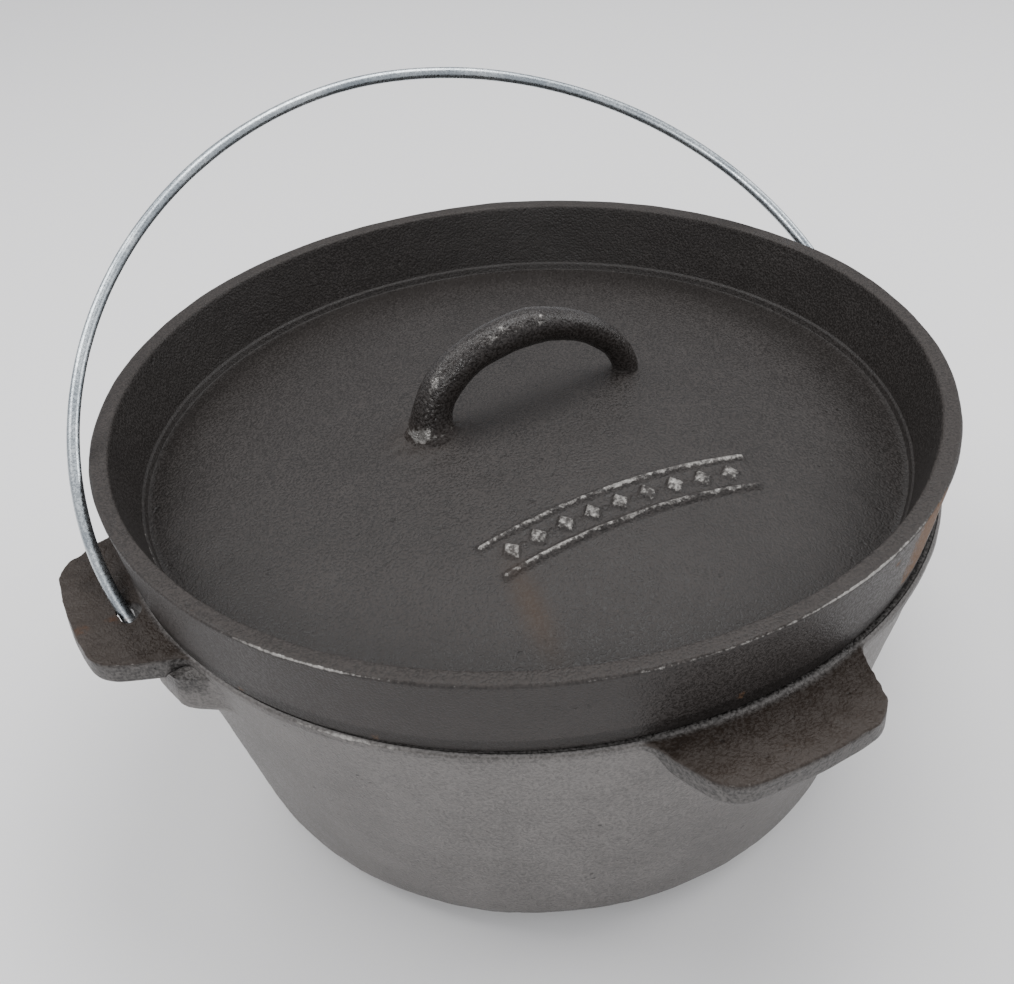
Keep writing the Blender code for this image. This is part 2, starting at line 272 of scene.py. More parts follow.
def span(tree, value, low, high, toLow=0.0, toHigh=1.0):
    node = tree.nodes.new("ShaderNodeMapRange")
    node.interpolation_type = "SMOOTHSTEP"
    plug(tree, value, node.inputs["Value"])
    for label, v in (("From Min", low), ("From Max", high), ("To Min", toLow), ("To Max", toHigh)):
        node.inputs[label].default_value = v
    return node.outputs["Result"]


def cloud(tree, where, scale, detail=3.0, roughness=0.55, kind="NOISE"):
    if kind == "NOISE":
        node = tree.nodes.new("ShaderNodeTexNoise")
        node.inputs["Detail"].default_value = detail
        node.inputs["Roughness"].default_value = roughness
    else:
        node = tree.nodes.new("ShaderNodeTexVoronoi")
        node.feature = "F1"
    plug(tree, where, node.inputs["Vector"])
    if isinstance(scale, (int, float)):
        node.inputs["Scale"].default_value = scale
    else:
        plug(tree, scale, node.inputs["Scale"])
    return node.outputs["Fac"] if kind == "NOISE" else node.outputs["Distance"]


def blendColor(tree, share, a, b, mode="MIX"):
    node = tree.nodes.new("ShaderNodeMix")
    node.data_type = "RGBA"
    node.blend_type = mode
    slots = [s for s in node.inputs if s.type == "RGBA"]
    for slot, value in ((node.inputs[0], share), (slots[0], a), (slots[1], b)):
        if isinstance(value, (int, float)):
            slot.default_value = value
        elif isinstance(value, tuple):
            slot.default_value = (*value, 1)
        else:
            plug(tree, value, slot)
    return [s for s in node.outputs if s.type == "RGBA"][0]


def attribute(tree, name):
    node = tree.nodes.new("ShaderNodeAttribute")
    node.attribute_name = name
    return node.outputs["Fac"]


cloudScale = {"broad": 42.0, "rare": 75.0, "patches": 95.0, "grit": 520.0, "drift": 130.0}  # per metre


def makeSandGrain():
    # the skin that a sand mould leaves: fine grain, broad unevenness and pits
    tree, given, made = newGroup(
        "sandGrain",
        [("Grain Scale", "NodeSocketFloat", 900.0), ("Pit Scale", "NodeSocketFloat", 240.0),
         ("Pit Share", "NodeSocketFloat", 0.3)],
        [("Height", "NodeSocketFloat"), ("Grain", "NodeSocketFloat"), ("Mottle", "NodeSocketFloat"),
         ("Pits", "NodeSocketFloat")],
    )
    where = tree.nodes.new("ShaderNodeTexCoord").outputs["Object"]
    fine = cloud(tree, where, given.outputs["Grain Scale"], 2.0, 0.5)
    broad = cloud(tree, where, cloudScale["broad"], 5.0, 0.6)
    cells = cloud(tree, where, given.outputs["Pit Scale"], kind="CELLS")
    rare = cloud(tree, where, cloudScale["rare"], 2.0, 0.5)
    pit = span(tree, cells, 0.10, 0.34, 1.0, 0.0)
    chosen = span(tree, maths(tree, "ADD", rare, given.outputs["Pit Share"]), 0.78, 0.92)
    pits = maths(tree, "MULTIPLY", pit, chosen)
    dug = maths(tree, "MULTIPLY", pits, 0.8)
    height = maths(tree, "SUBTRACT", maths(tree, "MULTIPLY", fine, 0.55), dug)
    height = maths(tree, "ADD", height, maths(tree, "MULTIPLY", broad, 0.6))
    plug(tree, height, made.inputs["Height"])
    plug(tree, span(tree, fine, 0.34, 0.66), made.inputs["Grain"])
    plug(tree, broad, made.inputs["Mottle"])
    plug(tree, pits, made.inputs["Pits"])
    return tree


def makeRubAndHighlight():
    # broken bright bare-metal patches where an edge has been rubbed; on the lid's handle and band they
    # also lay a painted highlight
    tree, given, made = newGroup(
        "rubAndHighlight",
        [("Wear And Highlight", "NodeSocketFloat", 0.0), ("Speck Scale", "NodeSocketFloat", 420.0),
         ("Spread", "NodeSocketFloat", 0.55)],
        [("Mask", "NodeSocketFloat")],
    )
    where = tree.nodes.new("ShaderNodeTexCoord").outputs["Object"]
    specks = cloud(tree, where, given.outputs["Speck Scale"], 4.0, 0.7)
    patches = cloud(tree, where, cloudScale["patches"], 3.0, 0.6)
    specks = maths(tree, "MULTIPLY", specks, 0.6)
    broken = maths(tree, "ADD", specks, maths(tree, "MULTIPLY", patches, 0.4))
    spread = maths(tree, "MULTIPLY", given.outputs["Wear And Highlight"], given.outputs["Spread"])
    worn = maths(tree, "ADD", broken, spread)
    plug(tree, span(tree, worn, 0.78, 1.0), made.inputs["Mask"])
    return tree


def makeRustBloom():
    tree, given, made = newGroup(
        "rustBloom",
        [("Amount", "NodeSocketFloat", 0.0), ("Dark", "NodeSocketColor", (0.07, 0.028, 0.012, 1)),
         ("Light", "NodeSocketColor", (0.30, 0.13, 0.05, 1))],
        [("Mask", "NodeSocketFloat"), ("Color", "NodeSocketColor")],
    )
    where = tree.nodes.new("ShaderNodeTexCoord").outputs["Object"]
    grit = cloud(tree, where, cloudScale["grit"], 4.0, 0.7)
    drift = cloud(tree, where, cloudScale["drift"], 4.0, 0.6)
    drift = maths(tree, "MULTIPLY", drift, 0.5)
    mixed = maths(tree, "ADD", maths(tree, "MULTIPLY", grit, 0.5), drift)
    level = maths(tree, "ADD", mixed, maths(tree, "MULTIPLY", given.outputs["Amount"], 0.6))
    plug(tree, span(tree, level, 0.68, 0.98), made.inputs["Mask"])
    tint = blendColor(tree, grit, given.outputs["Dark"], given.outputs["Light"])
    plug(tree, tint, made.inputs["Color"])
    return tree


sandGrain = makeSandGrain()
rubAndHighlight = makeRubAndHighlight()
rustBloom = makeRustBloom()


def place(tree, group, values):
    node = tree.nodes.new("ShaderNodeGroup")
    node.node_tree = group
    for label, value in values.items():
        if isinstance(value, (int, float)):
            node.inputs[label].default_value = value
        elif isinstance(value, tuple):
            node.inputs[label].default_value = (*value, 1)
        else:
            plug(tree, value, node.inputs[label])
    return node


def addGrain(tree, values):
    return place(tree, sandGrain, {k: values[k] for k in ("Grain Scale", "Pit Scale", "Pit Share")})


def addRubAndHighlight(tree, values):
    return place(tree, rubAndHighlight, {
        "Wear And Highlight": attribute(tree, "wearAndHighlight"),
        "Speck Scale": values["Speck Scale"],
        "Spread": values["Spread"],
    })


def addBump(tree, values, grain, shader):
    bump = tree.nodes.new("ShaderNodeBump")
    bump.inputs["Strength"].default_value = values["bumpStrength"]
    bump.inputs["Distance"].default_value = values["bumpDepth"] * mm
    plug(tree, grain.outputs["Height"], bump.inputs["Height"])
    plug(tree, bump.outputs["Normal"], shader.inputs["Normal"])


ironLook = {
    "dark": (0.0105, 0.0092, 0.0086),
    "brown": (0.040, 0.027, 0.019),
    "pit": (0.012, 0.011, 0.010),
    "bareMetalAndHighlight": (0.36, 0.345, 0.325),
    "roughness": (0.40, 0.62),
    "polish": 0.24,
    "specular": 0.30,
}


def makeIron(name, values):
    material = bpy.data.materials.new(name)
    material.use_nodes = True
    tree = material.node_tree
    shader = tree.nodes["Principled BSDF"]
    grain = addGrain(tree, values)
    rubAndGlint = addRubAndHighlight(tree, values)
    rust = place(tree, rustBloom, {
        "Amount": attribute(tree, "rust"), "Dark": values["rustDark"], "Light": values["rustLight"],
    })
    # the tone attribute carries painted light and shade from each mesh; mottle and grain add tone that
    # varies at random
    lightAndShadeTone = maths(tree, "ADD", maths(tree, "MULTIPLY", attribute(tree, "lightAndShadeTone"), 0.8),
                 maths(tree, "MULTIPLY", grain.outputs["Mottle"], 0.5))
    lightAndShadeTone = maths(tree, "ADD", lightAndShadeTone, maths(tree, "MULTIPLY", grain.outputs["Grain"], values["speckle"]))
    lightAndShadeTone = maths(tree, "SUBTRACT", lightAndShadeTone, 0.225 + values["speckle"] / 2, clamp=True)
    color = blendColor(tree, lightAndShadeTone, ironLook["dark"], values["light"])
    browned = maths(tree, "MULTIPLY", attribute(tree, "brown"), 0.8)
    color = blendColor(tree, browned, color, ironLook["brown"])
    pitted = maths(tree, "MULTIPLY", grain.outputs["Pits"], 0.6)
    color = blendColor(tree, pitted, color, ironLook["pit"])
    color = blendColor(tree, rust.outputs["Mask"], color, rust.outputs["Color"])
    color = blendColor(tree, rubAndGlint.outputs["Mask"], color, ironLook["bareMetalAndHighlight"])
    plug(tree, color, shader.inputs["Base Color"])
    low, high = ironLook["roughness"]
    rough = span(tree, grain.outputs["Grain"], 0.3, 0.75, low, high)
    rough = maths(tree, "ADD", rough, maths(tree, "MULTIPLY", rust.outputs["Mask"], 0.25))
    rough = maths(tree, "ADD", rough, maths(tree, "MULTIPLY", attribute(tree, "brown"), 0.12))
    polish = maths(tree, "MULTIPLY", attribute(tree, "polish"), ironLook["polish"])
    rough = maths(tree, "SUBTRACT", rough, polish, clamp=True)
    plug(tree, rough, shader.inputs["Roughness"])
    plug(tree, maths(tree, "MULTIPLY", rubAndGlint.outputs["Mask"], 0.85), shader.inputs["Metallic"])
    shader.inputs["Specular IOR Level"].default_value = ironLook["specular"]
    addBump(tree, values, grain, shader)
    return material


def makeWireFinish(name, values):
    material = bpy.data.materials.new(name)
    material.use_nodes = True
    tree = material.node_tree
    shader = tree.nodes["Principled BSDF"]
    grain = addGrain(tree, values)
    rubAndGlint = addRubAndHighlight(tree, values)
    rust = place(tree, rustBloom, {"Amount": attribute(tree, "rust")})
    dull = span(tree, grain.outputs["Mottle"], 0.35, 0.65)
    color = blendColor(tree, dull, values["bright"], values["dull"])
    color = blendColor(tree, rubAndGlint.outputs["Mask"], color, values["scraped"])
    color = blendColor(tree, rust.outputs["Mask"], color, rust.outputs["Color"])
    plug(tree, color, shader.inputs["Base Color"])
    clean = maths(tree, "SUBTRACT", 1.0, rust.outputs["Mask"])
    plug(tree, clean, shader.inputs["Metallic"])
    rough = span(tree, grain.outputs["Grain"], 0.3, 0.7, *values["roughness"])
    plug(tree, rough, shader.inputs["Roughness"])
    addBump(tree, values, grain, shader)
    return material


# the pot's iron is given a far lighter colour than the lid's, painted light that makes its outer wall
# read lighter than the same iron on the lid
potIron = makeIron("seasonedIronPot", {
    "Grain Scale": 1000.0, "Pit Scale": 330.0, "Pit Share": 0.15, "Speck Scale": 520.0, "Spread": 0.55,
    "bumpStrength": 0.9, "bumpDepth": 0.85, "light": (0.160, 0.150, 0.143), "speckle": 0.45,
    "rustDark": (0.030, 0.016, 0.010), "rustLight": (0.075, 0.043, 0.027),
})
lidIron = makeIron("seasonedIronLid", {
    "Grain Scale": 1180.0, "Pit Scale": 260.0, "Pit Share": 0.17, "Speck Scale": 560.0, "Spread": 0.60,
    "bumpStrength": 0.9, "bumpDepth": 0.75, "light": (0.042, 0.0370, 0.0348), "speckle": 0.80,
    "rustDark": (0.050, 0.026, 0.014), "rustLight": (0.17, 0.095, 0.050),
})
zincWire = makeWireFinish("zincPlatedWire", {
    "Grain Scale": 1300.0, "Pit Scale": 420.0, "Pit Share": 0.18, "Speck Scale": 600.0, "Spread": 0.5,
    "bumpStrength": 0.35, "bumpDepth": 0.10,
    "bright": (0.60, 0.64, 0.66), "dull": (0.36, 0.40, 0.43), "scraped": (0.16, 0.16, 0.17),
    "roughness": (0.26, 0.42),
})
print("finishes: sand-cast iron and zinc wire are made")


# pot, sizes in millimetres and angles in degrees
pot = {
    "height": 120.0, "rimRadius": 147.0, "rimWidth": 6.2, "rimRound": 1.2,
    "baseRadius": 116.7, "baseCorner": 21.0, "innerCorner": 17.0, "wall": 5.0, "floor": 5.5,
    "beadHeight": 4.0, "beadProud": 1.2, "mouthRound": 1.2,
    "lugTop": 119.6, "lugThickness": 8.4, "lugRadius": 171.7, "rootHalf": 38.5, "tipHalf": 28.5,
    "lugCorner": 13.0, "rootFillet": 8.0, "underFillet": 3.0, "earFillet": 4.0,
    "earTurn": -2.5, "tabTurn": -1.0,
    "fineTurn": 0.18, "coarseTurn": 0.54, "fineSpan": 19.5,  # degrees; lugs get the fine steps
    "gussetDepth": 23.5, "gussetReach": 6.8, "gussetHalf": 39.5, "gussetRound": 10.0,
    "recessHalf": 16.5, "recessRadius": 150.0,
    "holeRadius": 152.9, "holeDiameter": 8.8, "holeRoom": 0.7,
    "slotRadius": 153.8, "slotHalf": 3.0,
    "hingeZ": 117.6, "lean": 50.0, "wire": 4.4,
    "swell": [(38.0, 0.35), (11.0, 0.22), (4.0, 0.10)],  # size and height of the unevenness
    "lugSwell": [(7.0, 0.75), (2.8, 0.42), (1.5, 0.16)],
    "dents": [(-0.3, -157.4, 4.5, 0.9), (7.0, -160.0, 2.5, 0.6), (-168.0, 9.0, 4.0, 0.5)],
    "rimWorn": [(-140, 14, 1.0), (-96, 22, 0.6)],  # angle, width, amount
    "chip": (-170.0, -0.4, 12.0), "crumbs": (-158.5, -1.5, 8.0),  # rust on the left ear
}


def wallRadius(z):
    top = pot["rimRadius"] - pot["beadProud"]
    return pot["baseRadius"] + (top - pot["baseRadius"]) * z / (pot["height"] - pot["beadHeight"])


def lugReach(angle):
    # how far out the lugs reach at each angle, in degrees from their own middle line
    rim, outer = pot["rimRadius"], pot["lugRadius"]
    root = math.asin(pot["rootHalf"] / rim)
    tip = math.asin(pot["tipHalf"] / outer)
    flare = root + 1.5 * pot["rootFillet"] / rim
    at = lambda r, a: (r * math.cos(a), r * math.sin(a))
    half = [
        (*at(rim * 0.9, flare), 0.0), (*at(rim, flare), 0.0), (*at(rim, root), pot["rootFillet"]),
        (*at(outer, tip), pot["lugCorner"]), (*at(outer, tip - 1.1 * pot["lugCorner"] / outer), 0.0),
        (*at(outer, 0.0), 0.0),
    ]
    line = np.array([tuple(p) for p in rounded(half, 12)[1:]])
    line = line[np.hypot(line[:, 0], line[:, 1]) >= rim - 0.5]
    turn = np.degrees(np.arctan2(line[:, 1], line[:, 0]))
    reach = np.hypot(line[:, 0], line[:, 1])
    reach[turn < math.degrees(tip - 1.1 * pot["lugCorner"] / outer)] = outer
    order = np.argsort(turn)
    return np.interp(np.abs(angle), turn[order], reach[order], right=rim)


def potRings():
    fine = np.arange(0, 360, pot["fineTurn"])
    coarse = np.arange(0, 360, pot["coarseTurn"])
    lugs = [0 + pot["earTurn"], 180 + pot["earTurn"], 90 + pot["tabTurn"], 270 + pot["tabTurn"]]
    gap = lambda a: np.min([np.abs(nearest(a, m)) for m in lugs], axis=0)
    near = pot["fineSpan"]
    angle = np.concatenate([fine[gap(fine) < near], coarse[gap(coarse) >= near]])
    angle = np.sort(np.unique(np.round(angle, 3)))
    reach = np.max([lugReach(nearest(angle, m)) for m in lugs], axis=0)
    reach = np.maximum(reach, pot["rimRadius"])
    grown = ease((reach - pot["rimRadius"]) / 9.0)
    top = pot["height"] + (pot["lugTop"] - pot["height"]) * grown
    under = pot["height"] - pot["beadHeight"]
    under = under - (pot["lugThickness"] - pot["beadHeight"] + 0.4) * grown
    edgeLow = 1.1 + 0.7 * grown
    edgeTop = 1.2 - 0.45 * grown
    side = np.minimum(np.abs(nearest(angle, 0)), np.abs(nearest(angle, 180)))
    boss = ease(1 - (side - math.degrees(math.asin(pot["gussetHalf"] / 147)) + 2.6) / 5.2)
    hook = ease(1 - (side - math.degrees(pot["recessHalf"] / 150) - 0.2) / 1.4)
    fillet = 0.4 + (pot["underFillet"] + pot["earFillet"] * boss * (1 - hook)) * grown
    bossRadius = pot["rimRadius"] + pot["gussetReach"]
    bossRadius = bossRadius + (pot["recessRadius"] - bossRadius) * hook
    rows = []

    def add(r, z):
        r, z = np.broadcast_to(r, angle.shape), np.broadcast_to(z, angle.shape)
        rows.append(np.stack([r * np.cos(np.radians(angle)), r * np.sin(np.radians(angle)), z], -1))

    def outer(z):
        start = pot["lugTop"] - pot["gussetDepth"]
        t = np.clip((z - start) / pot["gussetRound"], 0, 1)
        lift = np.sin(t * math.pi / 2) ** 0.75
        plain = wallRadius(z)
        return plain + np.maximum(bossRadius - plain, 0) * lift * boss

    # underside and outer wall
    flat = pot["baseRadius"] - pot["baseCorner"]
    corner = rounded([
        (0, 0, 0), (pot["baseRadius"], 0, pot["baseCorner"]), (wallRadius(100), 100, 0),
    ], 14)[1:-1]
    for k in range(1, 16):
        add(corner[0].x * k / 16, 0.0)
    for p in corner:
        add(p.x, p.y)
    wallStart = corner[-1].y
    wallEnd = under - fillet
    for k in range(1, 61):
        z = wallStart + (wallEnd - wallStart) * (k / 60)
        add(outer(z), z)
    # under the lugs, round the edge and back over the top
    foot = outer(wallEnd)
    stop = reach - edgeLow
    bend = np.minimum(fillet, np.maximum(stop - foot, 0.2) * 0.6)
    for k in range(1, 6):
        turn = math.pi / 2 * k / 5
        add(foot + bend * (1 - math.cos(turn)), wallEnd + fillet * math.sin(turn))
    for k in range(1, 9):
        add(foot + bend + (np.maximum(stop, foot + bend + 0.05) - foot - bend) * k / 8, under)
    for k in range(1, 6):
        turn = math.pi / 2 * k / 5
        add(reach - edgeLow * (1 - math.sin(turn)), under + edgeLow * (1 - math.cos(turn)))
    for k in range(1, 4):
        add(reach, under + edgeLow + (top - edgeTop - under - edgeLow) * k / 4)
    for k in range(0, 6):
        turn = math.pi / 2 * k / 5
        add(reach - edgeTop * (1 - math.cos(turn)), top - edgeTop * (1 - math.sin(turn)))
    rim = pot["rimRadius"] - pot["rimRound"]
    edge = reach - edgeTop
    for k in range(1, 11):
        add(edge + (rim + 0.3 - edge) * np.where(reach > 147.5, 1, 0.9) * k / 10, top)
    mouth, inward = pot["rimRadius"] - pot["rimWidth"], pot["mouthRound"]
    for k in range(0, 4):
        add(rim - 0.3 + (mouth + inward - rim + 0.3) * k / 3, pot["height"])
    for k in range(1, 6):
        turn = math.pi / 2 * k / 5
        add(mouth + inward * (1 - math.sin(turn)), pot["height"] - inward * (1 - math.cos(turn)))
    # inside
    inner = rounded([
        (mouth, pot["height"] - inward, 0),
        (wallRadius(pot["floor"]) - pot["wall"], pot["floor"], pot["innerCorner"]),
        (0, pot["floor"], 0),
    ], 10)
    line = spaced([tuple(p) for p in inner[:-1]], 2.6)[1:]
    for r, z in line:
        add(r, z)
    for k in range(1, 18):
        add(line[-1][0] * (1 - k / 18), pot["floor"])
    return np.array(rows) * mm


def holeCutters(side):
    # a round hole, and a narrower slot through it that lets the wire lean both ways
    steep = math.tan(math.radians(pot["lean"]))
    wireLong = pot["wire"] / 2 / math.cos(math.radians(pot["lean"])) + pot["holeRoom"]
    below = pot["hingeZ"] - pot["lugTop"] + pot["lugThickness"] + 2.2
    above = pot["lugTop"] - pot["hingeZ"] + 2.0
    tools = []
    shapes = (
        ("hole", pot["holeRadius"], pot["holeDiameter"] / 2),
        ("slot", pot["slotRadius"], pot["slotHalf"]),
    )
    for kind, middle, half in shapes:
        rings = []
        for dz in (-below, 0.0, above):
            stretch = max(0.0, abs(dz) * steep + wireLong - half) if kind == "slot" else 0.0
            ring = []
            for k in range(64):
                turn = math.tau * (k + 0.5) / 64
                x = side * (middle + half * math.cos(turn))
                y = side * (half * math.sin(turn) + math.copysign(stretch, math.sin(turn)))
                ring.append((x, y, pot["hingeZ"] + dz))
            rings.append(ring)
        rings = np.array(rings) * mm
        tools.append(ringMesh(f"{kind}_{side}", rings, rings[0].mean(0), rings[-1].mean(0)))
    return tools


def makePot():
    rings = potRings()
    obj = ringMesh("pot_body", rings, (0, 0, 0), (0, 0, pot["floor"] * mm))
    combine(obj, holeCutters(1) + holeCutters(-1), "DIFFERENCE")
    co = points(obj)
    r, turn = polarOf(co)
    z = co[:, 2] / mm
    r = r / mm
    seat = ease((148 - r) / 1.5) * ease((z - 117) / 1.5)
    base = ease((1.5 - z) / 1.5)
    calm = 1 - np.maximum(seat, base)
    roughen(obj, pot["swell"], calm)
    lug = ease((r - 146.4) / 1.4) * ease((z - 109) / 3)
    top = lug * ease((z - 118.4) / 0.9)
    roughTop = ease((r - 148.6) / 2.0) * ease((z - 118.6) / 0.6)
    roughen(obj, pot["lugSwell"], roughTop)
    for x, y, wide, deep in pot["dents"]:
        away = (co[:, 0] / mm - x) ** 2 + (co[:, 1] / mm - y) ** 2
        co = points(obj)
        co[:, 2] -= deep * mm * np.exp(-away / wide**2) * roughTop
        obj.data.vertices.foreach_set("co", co.ravel())
    # painted light and shade: the outer wall is painted light, a little lighter towards the top; the
    # lugs are half as light and their tops darker still (painted shade); inside the pot the tone stays
    # at its darkest, painted shade on black seasoned iron
    litOutside = ease((r - wallRadius(z) + 2.5) / 2.5)
    upper = np.clip(z / 110, 0, 1)
    paint(obj, "lightAndShadeTone", litOutside * (0.84 + 0.10 * upper) * (1 - 0.50 * lug) - 0.5 * top)
    paint(obj, "brown", 0.7 * top)
    rim = ease((r - 145.9) / 0.6) * ease(1 - np.abs(z - 119.2) / 1.6) * (r < 148)
    lip = np.zeros(len(co))
    for middle in (0, 180, 90, -90):
        swing = pot["earTurn"] if middle in (0, 180) else pot["tabTurn"]
        near = lugReach(nearest(turn, middle + swing))
        line = ease(1 - np.abs(r - near) / 0.8) * ease((z - 118.2) / 0.9)
        lip = np.maximum(lip, line * (near > 149))
    paint(obj, "wearAndHighlight", 0.55 * rim * wornRound(turn, pot["rimWorn"]) + 0.42 * lip)
    crumbs = fleck(co, pot["crumbs"]) * ease((z - 119) / 0.5)
    paint(obj, "rust", 0.6 * fleck(co, pot["chip"]) + 0.7 * crumbs + 0.12 * top)
    smoothShade(obj, 50)
    obj.data.materials.clear()
    obj.data.materials.append(potIron)
    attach(obj, "pot")
    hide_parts("pot")
    return obj


makePot()
print("pot: body, ears, tabs and holes are cast")


# lid, measured from its own middle and from its seat
lid = {
    "seat": 120.3, "height": 32.0, "topRadius": 151.5, "taper": 6.0, "rimWidth": 6.4, "wallDraft": 6.8,
    "trayDepth": 24.3, "grooveDepth": 2.2, "grooveWidth": 3.4, "crownDepth": 5.5, "plate": 4.5,
    "lipDepth": 3.0, "lipWidth": 5.0, "lipOuter": 137.3, "rimRound": 1.2,
    "shift": (-1.35, 0.70), "turn": -0.2,
    "swell": [(45.0, 0.40), (13.0, 0.16), (4.5, 0.07)],
    "footSwell": [(7.0, 1.3), (3.0, 0.9), (1.6, 0.35)],  # rough casting at the handle's left foot
    "barSwell": [(9.0, 0.30), (2.2, 0.12), (1.3, 0.07)],
    "footMound": (-39.0, -1.0, 13.0, 10.0), "footRise": 1.4, "footRough": (-38.0, 0.0, 14.0, 11.0),
    "rimWorn": [(-144, 18, 1.1), (-80, 30, 1.1), (-112, 30, 0.4), (70, 90, 0.25)],
    "rustPatch": (-61, 9), "rustStreak": (-46.7, -89.0),
    "rustSpots": [(-156, 2), (-94, 6), (-137, 1.5), (-70, 24), (160, 12)],  # angle and height
}
handle = {
    "halfSpan": 39.9, "shift": 4.2, "rise": 27.9, "radius": 6.6, "thinRadius": 4.6,
    "leftBow": 0.85, "rightBow": 1.20, "leftFoot": 10.0, "rightFoot": 5.0, "flare": 4.5, "sink": 2.2,
    # the side of the bar that faces this direction gets a painted highlight
    "highlightAim": (-0.36, -0.60, 0.71),
}
plaque = {
    "middle": (-17.3, -409.3), "radius": 343.0, "halfWidth": 8.0, "from": 79.0, "to": 95.4,
    "ground": 0.25, "ridge": 1.6, "ridgeWidth": 1.25,
    "studs": 9, "stud": 1.7, "studSize": 3.4, "bead": 1.2,
}


def plateHeight(r):
    edge = lid["topRadius"] - lid["rimWidth"] - lid["wallDraft"] - lid["grooveWidth"]
    rise = lid["trayDepth"] + lid["grooveDepth"] - lid["crownDepth"]
    ball = (edge**2 + rise**2) / (2 * rise)
    return lid["height"] - lid["crownDepth"] - ball + np.sqrt(ball**2 - np.square(r))


def bandRelief(x, y):
    # a raised curved band with a rolled edge and a row of lozenges and beads
    dx, dy = x - plaque["middle"][0], y - plaque["middle"][1]
    out = np.hypot(dx, dy) - plaque["radius"]
    turn = np.degrees(np.arctan2(dy, dx))
    perDegree = math.radians(1) * plaque["radius"]
    middle = (plaque["from"] + plaque["to"]) / 2
    halfLong = (plaque["to"] - plaque["from"]) / 2 * perDegree
    along = (turn - middle) * perDegree
    inX, inY = halfLong - np.abs(along), plaque["halfWidth"] - np.abs(out)
    inside = np.minimum(inX, inY)
    ground = plaque["ground"] * ease(inside / 0.8 + 0.5)
    ridge = plaque["ridge"] * np.exp(-((inY - 0.9) / plaque["ridgeWidth"]) ** 2) * ease(inX / 2 + 0.5)
    step = 2 * halfLong / (plaque["studs"] + 0.6)
    cell = along / step
    local = (cell - np.round(cell)) * step
    keep = (np.abs(np.round(cell)) <= plaque["studs"] // 2) * (inside > 0)
    lozenge = np.clip(1.25 - (np.abs(local) + 0.85 * np.abs(out)) / plaque["studSize"], 0, 1)
    between = (cell - 0.5 - np.round(cell - 0.5)) * step
    bead = np.clip(1 - (between**2 + out**2) / plaque["bead"] ** 2, 0, 1) ** 0.5
    keepBead = (np.abs(cell) < plaque["studs"] // 2) * (inside > 0)
    return ground + ridge + plaque["stud"] * ease(lozenge * 1.6) * keep + 0.9 * bead * keepBead


def lidRings():
    angle = np.radians(np.arange(0, 360, 0.5))
    top = lid["topRadius"]
    innerTop = top - lid["rimWidth"]
    tray = innerTop - lid["wallDraft"]
    edge = tray - lid["grooveWidth"]
    ledge = lid["height"] - lid["trayDepth"]
    dome = [(r, plateHeight(r)) for r in np.concatenate([
        np.arange(2, 20, 2.0), np.arange(20, 100, 0.7), np.arange(100, edge - 1, 1.3), [edge]])]
    lipOuter, lipInner = lid["lipOuter"], lid["lipOuter"] - lid["lipWidth"]
    side = rounded([
        (edge, plateHeight(edge), 0.0),
        (tray - lid["grooveWidth"] / 2, ledge - lid["grooveDepth"], 0.5),
        (tray - lid["grooveWidth"] / 4, ledge, 0.4),
        (tray, ledge + lid["grooveDepth"] / 4, 0.5),
        (innerTop, lid["height"], lid["rimRound"]),
        (top, lid["height"], lid["rimRound"]),
        (top - lid["taper"], 0.0, lid["rimRound"]),
        (lipOuter, 0.0, 0.3),
        (lipOuter, -lid["lipDepth"], lid["rimRound"]),
        (lipInner, -lid["lipDepth"], lid["rimRound"]),
        (lipInner - lid["plate"] / 2, float(plateHeight(lipInner - 2.25)) - lid["plate"], 0.0),
    ], 5)
    side = spaced([tuple(p) for p in side], 1.1)[1:]
    start = lipInner - lid["plate"] / 2
    under = [(r, plateHeight(r) - lid["plate"]) for r in np.linspace(start, 4, 46)[1:]]
    line = np.array(dome + [tuple(p) for p in side] + under)
    r, z = line[:, :1], line[:, 1:]
    return np.stack([r * np.cos(angle), r * np.sin(angle), z + 0 * angle], -1), len(dome)


def handlePath():
    foot = float(plateHeight(handle["halfSpan"]))
    lift = handle["rise"] + lid["height"] - lid["crownDepth"] - foot

    def middleAt(turn):
        c, s = math.cos(turn), math.sin(turn)
        bow = handle["rightBow"] if c > 0 else handle["leftBow"]
        bowed = lambda v: math.copysign(abs(v) ** bow, v)
        return np.array((handle["halfSpan"] * bowed(c), 0.0, foot + lift * bowed(s)))

    start = -math.asin((handle["sink"] / lift) ** (1 / handle["rightBow"]))
    end = math.pi + math.asin((handle["sink"] / lift) ** (1 / handle["leftBow"]))
    rings = []
    for k in range(121):
        turn = start + (end - start) * k / 120
        middle = middleAt(turn)
        along = middleAt(turn + 0.01) - middleAt(turn - 0.01)
        along /= np.linalg.norm(along)
        out = np.cross((0.0, 1.0, 0.0), along)
        thinning = max(0.0, middle[0] / handle["halfSpan"])
        bar = handle["radius"] + (handle["thinRadius"] - handle["radius"]) * thinning
        wide = handle["rightFoot"] if middle[0] > 0 else handle["leftFoot"]
        height = max(0.0, middle[2] - foot)
        radius = bar + (wide - bar) * math.exp(-height / handle["flare"])
        ring = []
        for j in range(56):
            a = math.tau * j / 56
            ring.append(middle + radius * (math.cos(a) * out + math.sin(a) * np.array((0.0, 1.0, 0.0))))
        rings.append(ring)
    rings = np.array(rings) + (handle["shift"], 0, 0)
    return ringMesh("handle_bar", rings * mm, rings[0].mean(0) * mm, rings[-1].mean(0) * mm)


